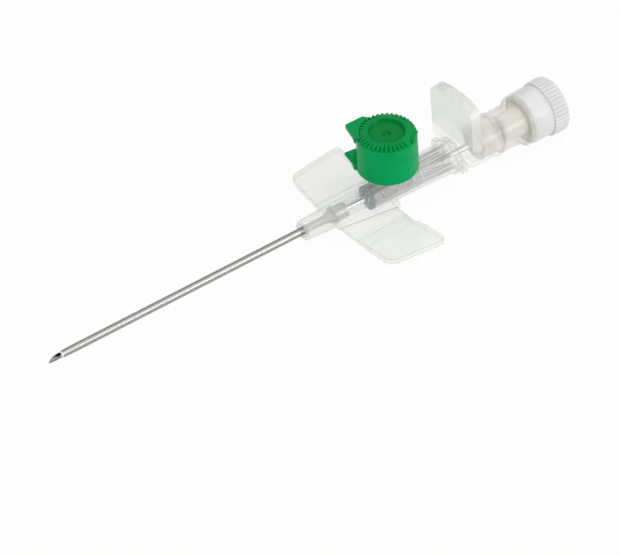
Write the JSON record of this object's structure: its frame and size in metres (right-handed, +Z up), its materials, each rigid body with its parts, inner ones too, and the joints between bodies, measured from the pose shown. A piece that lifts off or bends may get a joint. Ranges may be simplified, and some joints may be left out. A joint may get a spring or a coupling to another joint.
{
  "type": "iv cannula",
  "caption": "Winged intravenous cannula with an injection port, its lidded cap, and an introducer needle with a finger plate, flashback chamber and vented end plug.",
  "frame": {"origin": "on the bore axis, 0.3 mm behind the axis of the injection port", "axes": "+X along the bore from the needle tip to the end plug, +Z up along the injection port, +Y to the wing on the user's left when the tip points away from them"},
  "size_m": [0.0944, 0.027, 0.0155],
  "materials": {
    "needle": "polished",
    "catheter_tube": "clear",
    "wedge_bush": "satin",
    "catheter_hub": "clear, slightly milky",
    "port_valve": "satin",
    "port_cap_collar": "gloss",
    "port_cap_lid": "gloss",
    "needle_hub": "clear, slightly milky",
    "flashback_chamber": "clear, slightly yellow",
    "end_plug": "satin gloss",
    "vent_filter": "porous"
  },
  "bodies": {
    "catheter": {"catheter_hub": "catheter_hub", "catheter_tube": "catheter_tube", "wedge_bush": "wedge_bush", "port_valve": "port_valve"},
    "introducer": {"needle": "needle", "needle_hub": "needle_hub", "flashback_chamber": "flashback_chamber"},
    "plug": {"end_plug": "end_plug", "vent_filter": "vent_filter"},
    "cap_collar": {"port_cap_collar": "port_cap_collar"},
    "cap_lid": {"port_cap_lid": "port_cap_lid"}
  },
  "joints": [
    {"name": "needle_slide", "type": "slide", "parent": "catheter", "child": "introducer", "axis": [1, 0, 0], "range_m": [0, 0.08]},
    {"name": "plug_slide", "type": "slide", "parent": "introducer", "child": "plug", "axis": [1, 0, 0], "range_m": [0, 0.006]},
    {"name": "cap_turn", "type": "hinge", "parent": "catheter", "child": "cap_collar", "pos_m": [-0.0003, 0, 0.0075], "axis": [0, 0, 1], "range_deg": [-180, 180]},
    {"name": "lid_hinge", "type": "hinge", "parent": "cap_collar", "child": "cap_lid", "pos_m": [0.00232, -0.00335, 0.0108], "axis": [0.788, 0.6157, 0], "range_deg": [0, 150]}
  ]
}
